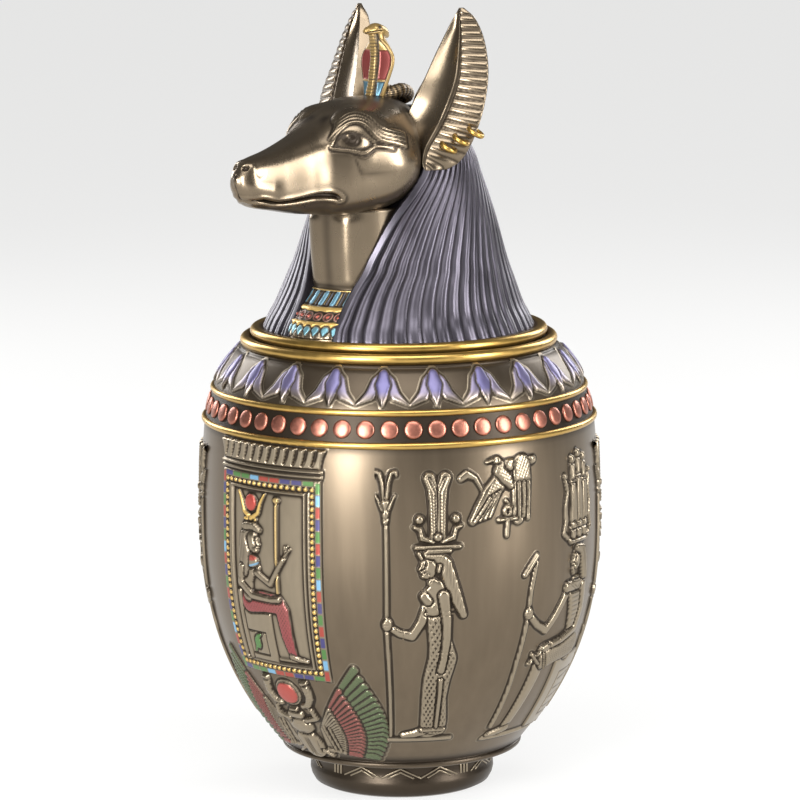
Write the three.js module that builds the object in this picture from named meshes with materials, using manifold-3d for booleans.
// Canopic jar with a jackal-headed lid, cast in resin with a bronze finish.
// Millimetres, +Z up, the jackal looks along -Y. The origin is on the jar's axis, on the surface it
// stands on. Angles on the jar run from the front, and grow towards the jackal's left, +X.

import * as THREE from "three";
import { mergeVertices } from "three/addons/utils/BufferGeometryUtils.js";
import Module from "manifold-3d";

const wasm = await Module();
wasm.setup();

// Jar: heights are from the surface it stands on, radii from its axis
const JAR_H = 185.5; // to the middle of the rim bead
const BASE_R = 34.5; // the flat ring that the jar stands on
const FOOT_R = 37.8; // the foot above its rounded edge
const FOOT_H = 17.1; // to the middle of the bead between foot and body
const FOOT_EDGE_H = 5.5; // the rounded edge below the zigzag band
const FOOT_BEAD_R = 48.3;
const FOOT_BEAD_TUBE = 1.3;
const BELLY_R = 81.5; // the widest place
const BELLY_H = 112;
const BELLY_POWER = 2.4; // fullness of the curve from foot to belly
const SHOULDER_R = 79.7; // the body at the lower shoulder bead
const LOWER_BEAD_DROP = 31.7; // rim bead down to the lower shoulder bead
const LOWER_BEAD_TUBE = 1.4;
const UPPER_BEAD_DROP = 19.3; // rim bead down to the upper shoulder bead
const UPPER_BEAD_R = 76;
const UPPER_BEAD_TUBE = 1.35;
const SHOULDER_POWER = 1.5;
const RIM_R = 62.7; // the middle of the rim bead
const RIM_TUBE = 2.2;
const MOUTH_R = 54;
const MOUTH_H = 5.5; // depth of the straight mouth below the seat
const SEAT_RISE = 0.2; // the lid's seat above the middle of the rim bead
const WALL = 5;
const FLOOR = 6;

// Ornament on the jar
const RELIEF = 1.7; // how far the figures stand out
const SINK = 2.4; // how deep a raised form is rooted in the wall
const LOTUS_COUNT = 22;
const LOTUS_H = 12.5;
const LOTUS_THICK = 0.9;
const LOTUS_RISE = 3; // above the upper shoulder bead
const DISC_COUNT = 52;
const DISC_R = 3.9;
const DISC_RISE = 1.2;

// Lid: it is measured up from its seat, and its head in parts of its own height
const LID_H = 134;
const LID_GAP = 0.3; // between the seat and the flange
const FLANGE_R = 58.6; // the middle of the flange's bead
const FLANGE_TUBE = 2.2;
const FLANGE_RISE = 0.3; // the bead's lowest line above the seat
const CLOTH_INSET = 2.6; // the headcloth's hem inside the flange's bead
const PLUG_DEPTH = 12;
const PLUG_CLEARANCE = 1;
const PLEATS = 19; // pleats in each half of the headcloth
const PLEAT_DEPTH = 1.1;
const CHEEK_TURN = (60 * Math.PI) / 180; // how far past the opening the cloth is drawn in
const EAR_RIBS = 11;

const RAD = Math.PI / 180;
const LOTUS_TURN = 3.2; // degrees from the front to the nearest lotus

const SEGMENTS = 36; // flats round the jar
const LONGEST_SAG = 0.8; // between the shoulder's curve and its flats

const SEAT_Z = JAR_H + SEAT_RISE;
const LOWER_BEAD_Z = JAR_H - LOWER_BEAD_DROP;
const UPPER_BEAD_Z = JAR_H - UPPER_BEAD_DROP;

// General shapes

// A closed geometry becomes a solid with its faces pointing out.
function solid(geometry) {
  const bare = geometry.index ? geometry.toNonIndexed() : geometry.clone();
  const merged = mergeVertices(
    new THREE.BufferGeometry().setAttribute("position", bare.getAttribute("position")),
    1e-4,
  );
  const vertProperties = new Float32Array(merged.getAttribute("position").array);
  const corners = [];
  const index = merged.index.array;
  for (let i = 0; i < index.length; i += 3) {
    const [a, b, c] = [index[i], index[i + 1], index[i + 2]];
    if (a !== b && b !== c && c !== a) corners.push(a, b, c);
  }
  const triVerts = new Uint32Array(corners);
  const at = (i) => new THREE.Vector3().fromArray(vertProperties, 3 * i);
  let volume = 0;
  for (let i = 0; i < triVerts.length; i += 3)
    volume += at(triVerts[i]).dot(at(triVerts[i + 1]).cross(at(triVerts[i + 2])));
  if (volume < 0)
    for (let i = 0; i < triVerts.length; i += 3)
      [triVerts[i + 1], triVerts[i + 2]] = [triVerts[i + 2], triVerts[i + 1]];
  return new wasm.Manifold(new wasm.Mesh({ numProp: 3, vertProperties, triVerts }));
}

function join(solids) {
  return solids.reduce((whole, piece) => whole.add(piece));
}

// Pieces that lean on each other can shut in a small pocket, which is filled.
function filled(shape) {
  return join(shape.decompose().filter((shell) => shell.volume() > 0));
}

// Corners that a cut left almost together become one corner, so that no sliver stays between them.
const WELD = 0.006;
function welded({ vertProperties, triVerts }) {
  const owner = Array.from({ length: vertProperties.length / 3 }, (_, i) => i);
  const ownerOf = (i) => {
    while (owner[i] !== i) i = owner[i];
    return i;
  };
  const gap = (a, b) =>
    Math.hypot(...[0, 1, 2].map((axis) => vertProperties[3 * a + axis] - vertProperties[3 * b + axis]));
  for (let i = 0; i < triVerts.length; i += 3)
    for (const [a, b] of [[0, 1], [1, 2], [2, 0]])
      if (gap(triVerts[i + a], triVerts[i + b]) < WELD)
        owner[ownerOf(triVerts[i + a])] = ownerOf(triVerts[i + b]);
  const corners = [];
  for (let i = 0; i < triVerts.length; i += 3) {
    const [a, b, c] = [triVerts[i], triVerts[i + 1], triVerts[i + 2]].map(ownerOf);
    if (a !== b && b !== c && c !== a) corners.push(a, b, c);
  }
  return { vertProperties, triVerts: new Uint32Array(corners) };
}

function meshOf(name, shape, material) {
  const { vertProperties, triVerts } = welded(filled(shape).getMesh());
  const geometry = new THREE.BufferGeometry();
  geometry.setAttribute("position", new THREE.BufferAttribute(vertProperties, 3));
  geometry.setIndex(new THREE.BufferAttribute(triVerts, 1));
  geometry.computeVertexNormals();
  const mesh = new THREE.Mesh(geometry, material);
  mesh.name = name;
  return mesh;
}

// Every vertex goes through one formula.
function mapped(geometry, formula) {
  const position = geometry.getAttribute("position");
  for (let i = 0; i < position.count; i++) {
    const [x, y, z] = formula(position.getX(i), position.getY(i), position.getZ(i));
    position.setXYZ(i, x, y, z);
  }
  return geometry;
}

// A closed tube: place(angle, level, out) gives a point, with level from 0 to 1 along the tube and
// out 0 on its middle line and 1 on its skin.
function tube(around, along, place) {
  const cylinder = new THREE.CylinderGeometry(1, 1, 1, around, along);
  return solid(
    mapped(cylinder, (x, y, z) => place(Math.atan2(x, z), y + 0.5, Math.min(1, Math.hypot(x, z)))),
  );
}

// The number of the corner at an angle, of a tube with so many corners
function cornerAt(turn, count) {
  return Math.round((turn / (2 * Math.PI) + 1) * count) % count;
}

// An ellipsoid, by its middle and half sizes, turned about X.
function egg(middle, half, turn = 0, around = 8, rows = 6) {
  const ball = new THREE.SphereGeometry(1, around, rows);
  ball.scale(...half).rotateX(turn).translate(...middle);
  return solid(ball);
}

// A round rod through points
function rod(points, radius, sides = 6, steps = 8) {
  const curve = new THREE.CatmullRomCurve3(points.map((p) => new THREE.Vector3(...p)));
  const section = new THREE.Shape();
  for (let i = 0; i < sides; i++) {
    const a = (2 * Math.PI * i) / sides;
    const corner = [radius * Math.cos(a), radius * Math.sin(a)];
    if (i === 0) section.moveTo(...corner);
    else section.lineTo(...corner);
  }
  return solid(new THREE.ExtrudeGeometry(section, { steps, extrudePath: curve, bevelEnabled: false }));
}

// A smooth curve through a table of [x, y...] rows, read at x in one column.
function along(table, x, column = 1) {
  const last = table.length - 1;
  if (x <= table[0][0]) return table[0][column];
  if (x >= table[last][0]) return table[last][column];
  let i = 0;
  while (x > table[i + 1][0]) i++;
  const slope = (k) => {
    const [a, b] = [Math.max(k - 1, 0), Math.min(k + 1, last)];
    return (table[b][column] - table[a][column]) / (table[b][0] - table[a][0]);
  };
  const width = table[i + 1][0] - table[i][0];
  const t = (x - table[i][0]) / width;
  const [p, q] = [table[i][column], table[i + 1][column]];
  const ease = t * t * (3 - 2 * t);
  const start = t * (1 - t) * (1 - t) * width * slope(i);
  const end = t * t * (t - 1) * width * slope(i + 1);
  return p + (q - p) * ease + start + end;
}

// Jar

// The outside of the jar, without its beads
function jarRadius(z) {
  if (z < BELLY_H) {
    const t = Math.min(1, (BELLY_H - z) / (BELLY_H - FOOT_H));
    return BELLY_R - (BELLY_R - FOOT_BEAD_R) * t ** BELLY_POWER;
  }
  if (z < LOWER_BEAD_Z) {
    const t = (z - BELLY_H) / (LOWER_BEAD_Z - BELLY_H);
    return BELLY_R - (BELLY_R - SHOULDER_R) * t ** BELLY_POWER;
  }
  if (z < UPPER_BEAD_Z) {
    const t = (z - LOWER_BEAD_Z) / (UPPER_BEAD_Z - LOWER_BEAD_Z);
    return SHOULDER_R - (SHOULDER_R - UPPER_BEAD_R) * t;
  }
  const t = Math.min(1, (z - UPPER_BEAD_Z) / (JAR_H - UPPER_BEAD_Z));
  return UPPER_BEAD_R - (UPPER_BEAD_R - RIM_R) * t ** SHOULDER_POWER;
}

// Points on the outer side of a bead, from one angle to another above the level
function bead(radius, z, size, from, to, steps) {
  return Array.from({ length: steps + 1 }, (_, i) => {
    const a = (from + ((to - from) * i) / steps) * RAD;
    return [radius + size * Math.cos(a), z + size * Math.sin(a)];
  });
}

// The body's outside, with more steps where it curves more, near the foot
function bodySide(inset = 0) {
  const steps = [0.11, 0.26, 0.45, 0.68, 1];
  const low = FOOT_H + FOOT_BEAD_TUBE + inset;
  return steps.map((t) => low + (BELLY_H - low) * t).map((z) => [jarRadius(z) - inset, z]);
}

// Between the belly and the lower shoulder bead, with as many steps as the curve there needs
function shoulderSide() {
  const deepest = (BELLY_POWER * (BELLY_POWER - 1) * Math.abs(BELLY_R - SHOULDER_R)) / 8;
  const steps = Math.ceil(Math.sqrt(deepest / LONGEST_SAG));
  const heights = Array.from({ length: steps - 1 }, (_, i) => (i + 1) / steps);
  return heights.map((t) => BELLY_H + (LOWER_BEAD_Z - BELLY_H) * t).map((z) => [jarRadius(z), z]);
}

function jarBody() {
  const shoulderWall = WALL * Math.SQRT2;
  const outside = [
    [0, 0],
    [BASE_R, 0],
    [FOOT_R, FOOT_EDGE_H],
    [FOOT_R, FOOT_H - 3],
    ...bead(FOOT_BEAD_R, FOOT_H, FOOT_BEAD_TUBE, -70, 60, 2),
    ...bodySide(),
    ...shoulderSide(),
    ...bead(jarRadius(LOWER_BEAD_Z), LOWER_BEAD_Z, LOWER_BEAD_TUBE, -60, 50, 1),
    ...bead(jarRadius(UPPER_BEAD_Z), UPPER_BEAD_Z, UPPER_BEAD_TUBE, -30, 80, 1),
    [jarRadius(UPPER_BEAD_Z + UPPER_BEAD_DROP * 0.5), UPPER_BEAD_Z + UPPER_BEAD_DROP * 0.5],
    ...bead(RIM_R, JAR_H, RIM_TUBE, -50, 140, 2),
  ];
  const inside = [
    [RIM_R - RIM_TUBE, SEAT_Z],
    [MOUTH_R, SEAT_Z],
    [MOUTH_R, SEAT_Z - MOUTH_H],
    [jarRadius(UPPER_BEAD_Z) - shoulderWall, UPPER_BEAD_Z],
    ...bodySide(WALL).reverse(),
    [FOOT_R - WALL, FOOT_H],
    [FOOT_R - WALL, FLOOR],
    [0, FLOOR],
  ];
  const profile = [...outside, ...inside].map(([r, z]) => new THREE.Vector2(r, z));
  return solid(new THREE.LatheGeometry(profile, SEGMENTS).rotateX(Math.PI / 2));
}

// Raised forms are drawn flat, with x in degrees round the jar, y as height and z standing out, and
// are bent onto the outside.
function onJar(geometry) {
  return mapped(geometry, (x, y, z) => {
    const slope = jarRadius(y + 0.5) - jarRadius(y - 0.5);
    const length = Math.hypot(1, slope);
    const r = jarRadius(y) + z / length;
    const a = x * RAD;
    return [r * Math.sin(a), -r * Math.cos(a), y - (z * slope) / length];
  });
}

// The figures' places are in parts of the field between the foot bead and the lower shoulder bead.
const FIELD_PARTS = [17.1, 153.8];
function fieldZ(part) {
  const share = (part - FIELD_PARTS[0]) / (FIELD_PARTS[1] - FIELD_PARTS[0]);
  return FOOT_H + share * (LOWER_BEAD_Z - FOOT_H);
}

const degrees = (mm, z) => mm / jarRadius(z) / RAD;

function raised(shape, height) {
  const prism = new THREE.ExtrudeGeometry(shape, { depth: height + SINK, bevelEnabled: false });
  return solid(onJar(prism.translate(0, 0, -SINK)));
}

function outline(points) {
  return new THREE.Shape(points.map(([x, y]) => new THREE.Vector2(x, y)));
}

// A limb, stem or band: a line of [degrees, height, half width] with square ends
const LONGEST_CHORD = 13; // degrees
const LONGEST_RISE = 30;
function stroke(line, height = RELIEF) {
  const points = [];
  line.forEach(([a, z, w], i) => {
    if (i > 0) {
      const [a0, z0, w0] = line[i - 1];
      const cuts = Math.ceil(Math.max(Math.abs(a - a0) / LONGEST_CHORD, Math.abs(z - z0) / LONGEST_RISE));
      for (let k = 1; k < cuts; k++) {
        const t = k / cuts;
        points.push([a0 + (a - a0) * t, z0 + (z - z0) * t, w0 + (w - w0) * t]);
      }
    }
    points.push([a, z, w]);
  });
  const left = [];
  const right = [];
  points.forEach(([a, z, w], i) => {
    const before = points[Math.max(i - 1, 0)];
    const after = points[Math.min(i + 1, points.length - 1)];
    const level = jarRadius(fieldZ(z));
    const dx = (after[0] - before[0]) * RAD * level;
    const dz = after[1] - before[1];
    const length = Math.hypot(dx, dz);
    const side = [((-dz / length) * w) / level / RAD, (dx / length) * w];
    left.push([a + side[0], fieldZ(z + side[1])]);
    right.push([a - side[0], fieldZ(z - side[1])]);
  });
  const slab = new THREE.BoxGeometry(1, 1, 1, 1, points.length - 1, 1);
  const laid = mapped(slab, (x, y, z) => {
    const i = Math.round((y + 0.5) * (points.length - 1));
    return [...(x < 0 ? left[i] : right[i]), z < 0 ? -SINK : height];
  });
  return solid(onJar(laid));
}

// A round or oval boss, by its middle and half sizes in millimetres
function boss(a, z, halfWidth, halfHeight, height = RELIEF, sides = 8) {
  const corners = Array.from({ length: sides }, (_, i) => {
    const turn = (2 * Math.PI * (i + 0.5)) / sides;
    const level = fieldZ(z);
    return [a + degrees(halfWidth * Math.cos(turn), level), fieldZ(z + halfHeight * Math.sin(turn))];
  });
  return raised(outline(corners), height);
}

// Open lotus flowers hang in a chain, the tips of their side petals close to their neighbours'.
function lotusFrieze() {
  const foot = UPPER_BEAD_Z + LOTUS_RISE;
  const pitch = 360 / LOTUS_COUNT;
  const flower = (middle) =>
    outline([
      [middle - pitch * 0.48, foot + LOTUS_H * 0.12],
      [middle, foot],
      [middle + pitch * 0.48, foot + LOTUS_H * 0.12],
      [middle + pitch * 0.12, foot + LOTUS_H],
      [middle - pitch * 0.12, foot + LOTUS_H],
    ]);
  const turns = Array.from({ length: LOTUS_COUNT }, (_, i) => LOTUS_TURN + i * pitch);
  return turns.map((turn) => raised(flower(turn), LOTUS_THICK));
}

function discBand() {
  const z = (LOWER_BEAD_Z + UPPER_BEAD_Z) / 2;
  const pitch = 360 / DISC_COUNT;
  return Array.from({ length: DISC_COUNT }, (_, i) => {
    const height = DISC_RISE + SINK;
    const disc = new THREE.ConeGeometry(DISC_R * (height / DISC_RISE), height, 5);
    disc.rotateX(Math.PI / 2).translate(0, 0, DISC_RISE - height / 2);
    disc.scale(degrees(1, z), 1, 1).translate((i + 0.5) * pitch, z, 0);
    return solid(onJar(disc));
  });
}

// The shrine panel at the front: a cornice on mouldings, a raised frame, and a seated goddess
function shrinePanel() {
  const side = 16;
  const sideW = 3.7;
  const pieces = [
    stroke([[-side, 56, sideW], [-side, 139, sideW]], 1.3),
    stroke([[side, 56, sideW], [side, 139, sideW]], 1.3),
    stroke([[-side, 135.6, 3.3], [side, 135.6, 3.3]], 1.25),
    stroke([[-side, 59.2, 3.1], [side, 59.2, 3.1]], 1.25),
    stroke([[-18.6, 141.2, 1.7], [18.6, 141.2, 1.7]], 1.8),
  ];
  const leaves = 6;
  for (let i = 0; i < leaves; i++) {
    const share = (2 * i) / (leaves - 1) - 1;
    pieces.push(stroke([[share * 16.8, 142.5, 3.2], [share * 18, 150.8, 2.9]], 1.6));
  }
  return pieces;
}

// The goddess on the block throne faces the jackal's left. Figures are lines of [degrees, part of
// the field's height, half width in millimetres].
const SEATED = [
  [[-5.6, 61.9, 6.4], [-5.6, 82.5, 6.4]],
  [[-11.9, 62.2, 1.3], [-11.9, 89, 1.3]],
  [[-7.4, 82, 4.6], [-7.2, 93, 3.2], [-6.8, 99.5, 4.2], [-5.2, 116.6, 3.5]],
  [[-6.5, 85, 4.2], [7.6, 86.4, 3.2]],
  [[5.8, 88, 3.2], [6.5, 61.6, 2.4]],
  [[-4.6, 99, 1.5], [3.4, 99, 1.2], [8.6, 111.5, 0.9]],
  [[4, 92.7, 0.7], [4, 126.6, 0.9]],
  [[-9.8, 131, 0.9], [-4.8, 121.4, 1.3], [0.2, 131, 0.9]],
];

// A standing goddess with a lily staff, and horns and tall plumes on her crown
const STANDING = [
  [[53, 30.7, 5.4], [51.4, 56, 5], [53.2, 68.5, 5.8], [51.2, 79.5, 3.4], [50.4, 90, 5], [49.8, 109, 3.6]],
  [[51, 108, 2.6], [51, 128, 2.4], [51, 139, 5.4]],
  [[36.9, 30.3, 0.9], [36.9, 132, 0.9], [36.9, 144, 2.7]],
  [[37.2, 31.4, 1.4], [60.1, 31.4, 1.4]],
  [[48.4, 89.6, 1.9], [44, 76.4, 1.7], [37.2, 81.5, 1.3]],
  [[44.6, 117.4, 1.2], [51, 110.6, 1.6], [57.7, 117.4, 1.2]],
  [[53.4, 103, 2.4], [57.2, 83, 2.6]],
];

// A seated king with a triple bundle crown, a crook staff and a block throne
const KING = [
  [[105, 62, 5], [101.6, 82, 4.2], [101.6, 89, 6.4], [101.6, 109, 4]],
  [[109, 26.6, 8.6], [109, 58.3, 8.6]],
  [[107, 63.5, 4.4], [87.6, 58.6, 3.6], [83.4, 27.4, 2.2]],
  [[102, 107, 4.6], [102, 126, 8], [102, 141, 6.6]],
  [[75.2, 28.4, 1.4], [112, 28.4, 1.4]],
  [[80.2, 107.4, 1.1], [76.8, 27.7, 0.9]],
  [[96, 87.6, 1.8], [88.8, 73.4, 1.6], [80.4, 82, 1.3]],
];

// The far side and the back repeat the figures with fewer strokes, on both sides of a plain pillar.
const FAR_STROKES = 3;
const BACK_TURN = 84;
const PILLAR = [
  [[180, 31, 4.4], [180, 58, 3.8], [180, 85, 3.2], [180, 112, 2.8]],
  [[174.6, 96, 3], [185.4, 96, 3]],
];

function turned(line, angle, side = 1) {
  return line.map(([a, z, w]) => [side * (a + angle), z, w]);
}

// A vulture over a fan and an ankh, between the standing goddess and the king
function vulture(side) {
  return [
    stroke([[side * 65.8, 147.4, 1.4], [side * 67, 142, 3.4], [side * 62.6, 123.4, 3]]),
    stroke([[side * 67.4, 140, 3.4], [side * 73, 137, 5.4], [side * 80, 130, 12]]),
    stroke([[side * 72.4, 128, 1.9], [side * 71.8, 115.4, 0.9]]),
  ];
}

// The winged beetle under the panel, with the sun's disc between two cobras
function scarab() {
  const pieces = [
    boss(0, 49, 6.2, 5.4, 2.2, 7),
    stroke([[0, 43, 2], [0, 38, 2.4], [0, 33, 5.6], [0, 25, 6], [0, 19.8, 2.6]], 2.4),
  ];
  for (const side of [-1, 1]) {
    pieces.push(stroke([[side * 4, 42.6, 1.2], [side * 9.8, 44.5, 1.5], [side * 9.6, 53, 1.5]], 1.8));
    const wing = [[side * 3, 27.5, 3], [side * 12, 29, 6], [side * 22, 37, 11], [side * 31, 50, 13.4]];
    pieces.push(stroke(wing, 1.7));
  }
  return pieces;
}

function jar() {
  const near = [...STANDING, ...KING];
  const far = [...STANDING.slice(0, FAR_STROKES), ...KING.slice(0, FAR_STROKES)];
  const back = STANDING.slice(0, 2);
  return join([
    jarBody(),
    ...lotusFrieze(),
    ...discBand(),
    ...shrinePanel(),
    ...SEATED.map((line) => stroke(line, 1.5)),
    boss(-4.8, 128, 3.1, 3.1, 1.7, 6),
    ...near.map((line) => stroke(line)),
    ...far.map((line) => stroke(turned(line, 0, -1))),
    ...[-1, 1].flatMap((side) => back.map((line) => stroke(turned(line, BACK_TURN, side)))),
    ...[-1, 1].flatMap(vulture),
    ...scarab(),
    ...PILLAR.map((line) => stroke(line)),
  ]);
}

// Lid

// The head's carving is laid out in parts: its height over the seat is 134 of them.
const HEAD_PARTS = 134;
const PART = LID_H / HEAD_PARTS;
const parts = (...values) => values.map((value) => value * PART);

// Points of the head are [to its left, forward, up from the seat], in parts.
function place(left, forward, up) {
  return [left * PART, -forward * PART, up * PART];
}

// Head stations: forward, top, bottom, half width, height of the widest place, boxiness
const HEAD = [
  [-14, 86, 70, 8, 78, 1],
  [-4, 95, 60, 24, 76, 1],
  [12, 99, 54, 29.5, 73, 0.95],
  [28, 98.6, 53, 27.2, 72, 0.85],
  [40, 96, 53, 22.5, 72, 0.7],
  [48, 92, 53.4, 18.6, 72, 0.68],
  [55, 88.2, 54.4, 14, 71, 0.72],
  [64, 84.8, 55.4, 11.6, 69, 0.68],
  [76, 81.4, 57.6, 9.4, 68, 0.68],
  [88, 79, 60, 6.8, 70, 0.72],
  [92, 77.4, 62.6, 5.4, 71, 0.8],
  [94.6, 74.6, 66, 3.4, 70.6, 0.9],
  [96, 72, 69, 1, 70.5, 1],
];

function headSkin(forward, turn) {
  const [top, bottom, half, widest, box] = [1, 2, 3, 4, 5].map((c) => along(HEAD, forward, c));
  const up = Math.cos(turn);
  const side = Math.sign(Math.sin(turn)) * Math.abs(Math.sin(turn)) ** box;
  const reach = up > 0 ? top - widest : widest - bottom;
  return place(half * side, forward, widest + reach * Math.sign(up) * Math.abs(up) ** box);
}

function head() {
  const [back, front] = [HEAD[0][0], HEAD[HEAD.length - 1][0]];
  return tube(14, 14, (turn, level, out) => {
    const forward = back + (front - back) * (0.5 - 0.5 * Math.cos(Math.PI * level)) ** 0.9;
    const [x, y, z] = headSkin(forward, turn);
    const middle = along(HEAD, forward, 4) * PART;
    return [x * out, y, middle + (z - middle) * out];
  });
}

// Lids, brow bands, nose and mouth, mirrored on both sides
function features(side) {
  const curve = (points) => points.map(([left, forward, up]) => place(side * left, forward, up));
  return [
    egg(place(side * 13.6, 46.4, 84.4), parts(5, 7.4, 4.2), 0, 6, 4),
    rod(curve([[9, 55.6, 82], [16.4, 49.6, 88], [21.4, 39, 84.4], [24.6, 30, 84]]), 1.1 * PART, 4, 6),
    rod(curve([[7, 54, 86.6], [14.6, 47.6, 91.6], [20, 37, 90], [23, 29, 89.4]]), 1.3 * PART, 4, 6),
    egg(place(side * 3, 93.6, 75.4), parts(2.8, 3.2, 2.8), 0, 6, 4),
  ];
}

function mouth(side) {
  const corners = [[-2, 92, 62.4], [5.4, 88, 62.4], [9.4, 74, 61.4], [12.6, 60, 60.6], [17, 50, 60.8]];
  const line = corners.map(([left, forward, up]) => place(side * left, forward, up));
  return join([rod(line, 0.7 * PART, 4, 6), egg(place(side * 3.4, 97, 75.2), parts(1.2, 1.6, 1), 0, 5, 4)]);
}

// The headcloth: radius against height, and where its front edges lie, as an angle from the front
const CLOTH = [
  [3.6, 56.2, 12.6, 1],
  [9, 53.8, 12.2, 1],
  [13, 51.6, 12.8, 0.99],
  [17, 50, 13.6, 0.97],
  [21, 48.6, 15, 0.945],
  [25.5, 47, 17.4, 0.925],
  [30, 45.4, 20.6, 0.91],
  [36, 43.6, 23.8, 0.9],
  [51, 39.5, 36.4, 0.9],
  [67.5, 34, 57.6, 0.94],
  [76, 31, 64, 1],
  [86, 24, 74, 1],
  [94.3, 12, 84, 1],
];

function headcloth() {
  const top = CLOTH[CLOTH.length - 1][0];
  const edgeStep = 4; // steps across the front, behind the neck
  const baseRatio = (FLANGE_R - CLOTH_INSET) / (CLOTH[0][1] * PART);
  const steps = 4 * PLEATS + edgeStep;
  return tube(steps, 5, (turn, level, out) => {
    const up = level * top;
    const share = cornerAt(turn, steps);
    const open = along(CLOTH, up, 2) * RAD;
    const flare = 1 + (baseRatio - 1) * (1 - level) ** 2;
    const side = along(CLOTH, Math.max(up, CLOTH[0][0])) * PART * flare;
    const front = side * along(CLOTH, up, 3);
    let [x, y] = [0, 0];
    if (share < edgeStep) {
      const across = (2 * share) / edgeStep - 1;
      x = -across * front * Math.sin(open) * 0.98;
      y = -front * Math.cos(open) + 5 * PART * (1 - across * across);
    } else {
      const step = share - edgeStep;
      const angle = open + (2 * (Math.PI - open) * step) / (steps - edgeStep);
      const past = Math.min(angle, 2 * Math.PI - angle) - open;
      const near = Math.max(0, 1 - past / CHEEK_TURN);
      const radius = side + (front - side) * near * near * (3 - 2 * near);
      const groove = step % 2 ? 0 : PLEAT_DEPTH * Math.min(1, 3 * (1 - level));
      x = -(radius - groove) * Math.sin(angle);
      y = -(radius - groove) * Math.cos(angle);
    }
    return [x * out, y * out, up * PART];
  });
}

// The neck stands forward in the cloth's opening and spreads to the chest.
const NECK = [
  [2, 20, 37.6],
  [5, 20.4, 37],
  [9, 21, 34.3],
  [13.2, 21, 31],
  [17, 20.6, 27.3],
  [22.3, 19.6, 23.2],
  [26, 19, 23.4],
  [39, 19.4, 24],
  [56, 20, 24],
];

function neck() {
  const [low, high] = [NECK[0][0], NECK[NECK.length - 1][0]];
  return tube(12, 4, (turn, level, out) => {
    const up = low + (high - low) * level;
    const ridge = up > 24 && up < 50 ? 1.6 * Math.cos(2 * turn) ** 2 * Math.abs(Math.sin(turn)) : 0;
    const r = along(NECK, up) + ridge;
    return place(r * Math.sin(turn) * out, along(NECK, up, 2) + r * Math.cos(turn) * out, up);
  });
}

// The collar's rows stand on the chest: bars, roundels and triangles between gold bands.
function collar() {
  const row = (up, half, forward, rise) =>
    tube(8, 1, (turn, level, out) => {
      const z = up + half * (2 * level - 1);
      const r = along(NECK, z) + rise;
      return place(r * Math.sin(turn) * out, forward(z) + r * Math.cos(turn) * out, z);
    });
  const middle = (z) => along(NECK, z, 2);
  const pieces = [row(22.8, 0.6, middle, 0.9), row(15.8, 0.9, middle, 0.9), row(10.2, 1.2, middle, 0.9)];
  const barTurn = 15.6 * RAD;
  for (let i = -2; i <= 2; i++) {
    const at = (up) => {
      const r = along(NECK, up);
      return place(r * Math.sin(i * barTurn), middle(up) + r * Math.cos(i * barTurn), up);
    };
    pieces.push(rod([at(17.2), at(19.6), at(22.2)], 1.1 * PART, 4, 2));
  }
  return pieces;
}

// Ear sections from lobe to tip: up, then inner ridge, groove, outer edge, back and inner back, each
// as [left, forward]
const EAR = [
  [70, [25, 14], [29.4, 17], [33.4, 9.6], [30.4, 6], [24, 9]],
  [73, [21, 14], [28, 17], [36.8, 5.2], [32, 1], [20, 7]],
  [79, [18, 13], [27.6, 14.6], [40.4, 2.6], [33, -4], [18, 3]],
  [88, [14, 11], [29.4, 8.4], [43.2, 0], [33, -8.6], [12, 0]],
  [97, [16.2, 8.4], [31.2, 4.2], [43.8, -3.2], [32, -11.4], [12.1, 1.6]],
  [106, [18.4, 4], [31.8, 0.3], [42.4, -6.9], [31.5, -13.2], [15.1, -2.4]],
  [114, [20.4, 0.5], [31.1, -2], [40.4, -9], [31, -13.8], [17.6, -4.8]],
  [123, [23.1, -3.5], [29.7, -4.3], [36.9, -10.3], [30, -13.4], [21.2, -7.2]],
  [130, [25.2, -6.4], [27.8, -6.4], [32.3, -10.4], [28.6, -12], [24.6, -8.6]],
  [134, [26.6, -8], [27, -7.9], [27.9, -8.6], [27.4, -9.2], [26.6, -8.8]],
];

function earPoint(up, spot) {
  const column = (axis) => EAR.map((row) => [row[0], row[spot][axis]]);
  return [along(column(0), up), along(column(1), up)];
}

// The outer flank between groove and edge is ribbed across.
function ear(side) {
  const [low, high] = [EAR[0][0], EAR[EAR.length - 1][0]];
  const rings = 2 * EAR_RIBS + 1;
  const corners = (up, rib) => {
    const [ridge, groove, edge, back, inner] = [1, 2, 3, 4, 5].map((spot) => earPoint(up, spot));
    const flank = [0.45 * groove[0] + 0.55 * edge[0], 0.45 * groove[1] + 0.55 * edge[1] + rib];
    return [ridge, groove, flank, edge, back, inner];
  };
  return tube(6, rings, (turn, level, out) => {
    const up = low + (high - low) * level;
    const ring = Math.round(level * rings);
    const rib = ring % 2 && ring < rings ? 1.1 : -0.6;
    const section = corners(up, level > 0.94 ? 0 : rib);
    const [left, forward] = section[cornerAt(turn, 6)];
    const [cl, cf] = [0, 1].map((axis) => section.reduce((sum, spot) => sum + spot[axis], 0) / 6);
    return place(side * (cl + (left - cl) * out), cf + (forward - cf) * out, up);
  });
}

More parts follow.
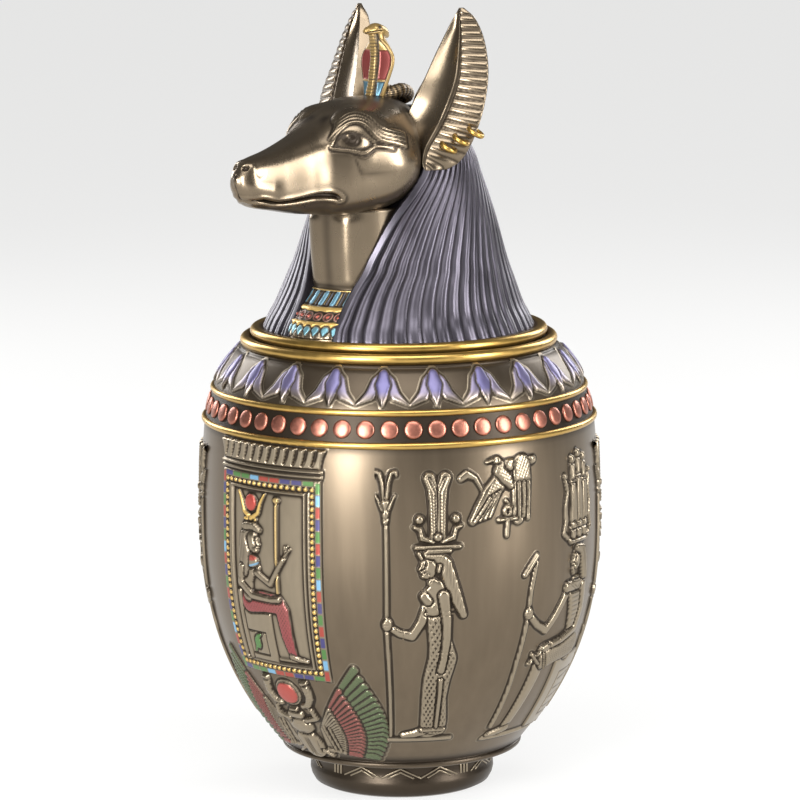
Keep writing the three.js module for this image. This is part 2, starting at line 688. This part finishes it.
// Three rings through the lower edge of the left ear
function earRings() {
  const axis = new THREE.Vector3(0.716, 0.178, 0.712).normalize();
  const turn = new THREE.Quaternion().setFromUnitVectors(new THREE.Vector3(0, 0, 1), axis);
  const places = [[42, 0.6, 85.2], [38.4, 5.2, 82.6], [34.8, 8, 79.8]];
  return places.map((spot) => {
    const ring = new THREE.TorusGeometry(2.9 * PART, 0.85 * PART, 4, 8);
    ring.applyQuaternion(turn).translate(...place(...spot));
    return solid(ring);
  });
}

// The rearing cobra on the brow: spread hood, head and coiled tail
function cobra() {
  const coil = [[4, 9, 98.6], [4.6, 3, 99.6], [1, -3.6, 97.4], [-3.6, 0, 99.6], [-3, 6, 101]];
  return [
    egg(place(0, 12.4, 110), parts(7.6, 2.6, 11.4), 0.1, 8, 5),
    egg(place(0, 13.6, 110), parts(2.2, 2.4, 13.8), 0.02, 4, 4),
    egg(place(0, 12.8, 124.4), parts(3.2, 6.6, 2.8), 0.2, 5, 4),
    egg(place(0, 13, 101.4), parts(4, 5, 5), 0, 6, 4),
    rod(coil.map((p) => place(...p)), 2 * PART, 4, 6),
  ];
}

function flange() {
  const base = [
    [0, -PLUG_DEPTH],
    [MOUTH_R - PLUG_CLEARANCE, -PLUG_DEPTH],
    [MOUTH_R - PLUG_CLEARANCE, 0],
    [FLANGE_R, 0],
    ...bead(FLANGE_R, FLANGE_TUBE + FLANGE_RISE, FLANGE_TUBE, -45, 100, 3),
    [0, 2 * (FLANGE_TUBE + FLANGE_RISE)],
  ];
  const profile = base.map(([r, z]) => new THREE.Vector2(r, z));
  return solid(new THREE.LatheGeometry(profile, SEGMENTS).rotateX(Math.PI / 2));
}

function lid() {
  const face = join([head(), ...features(1), ...features(-1)]);
  const carved = face.subtract(mouth(1)).subtract(mouth(-1));
  return join([
    flange(),
    headcloth(),
    neck(),
    ...collar(),
    carved,
    ear(1),
    ear(-1),
    ...earRings(),
    ...cobra(),
  ]);
}

const bronze = new THREE.MeshStandardMaterial({ color: 0xa08a6c, roughness: 0.35, metalness: 0.9 });
const darkBronze = new THREE.MeshStandardMaterial({ color: 0x8d7c70, roughness: 0.4, metalness: 0.85 });

const group = new THREE.Group();
group.add(meshOf("jar", jar(), bronze));

const seat = new THREE.Group();
seat.position.set(0, 0, SEAT_Z + LID_GAP);
seat.add(meshOf("lid", lid(), darkBronze));
group.add(seat);

export default group;
